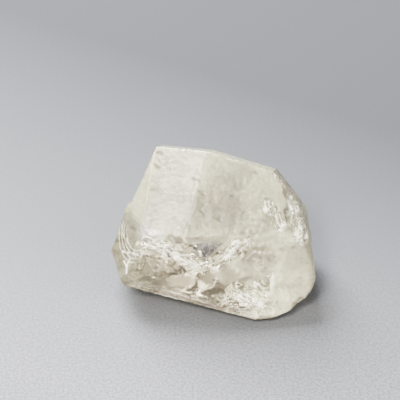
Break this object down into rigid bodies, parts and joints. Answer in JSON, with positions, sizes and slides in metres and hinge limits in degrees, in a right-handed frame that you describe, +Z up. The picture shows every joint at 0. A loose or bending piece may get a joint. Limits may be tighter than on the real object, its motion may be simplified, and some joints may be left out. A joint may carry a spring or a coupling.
{
  "type": "rough topaz crystal",
  "caption": "Rough see-through topaz crystal: broad frosted prism faces above a flaked rim, a clear broken front, a water-worn end and a flat cleavage base.",
  "frame": {"origin": "under the middle of the stone, on the cleavage face that it rests on", "axes": "+Z up from the cleavage face; +X along the stone's longest way; -Y is the side that the two broad prism faces turn to"},
  "size_m": [0.0328, 0.0232, 0.0195],
  "materials": {
    "topaz": "see-through topaz, index 1.62, colourless to pale champagne by its own thickness; prism faces and worn end frosted, broken faces clear and glossy"
  },
  "bodies": {
    "root": {"topaz_crystal": "topaz"}
  },
  "joints": []
}
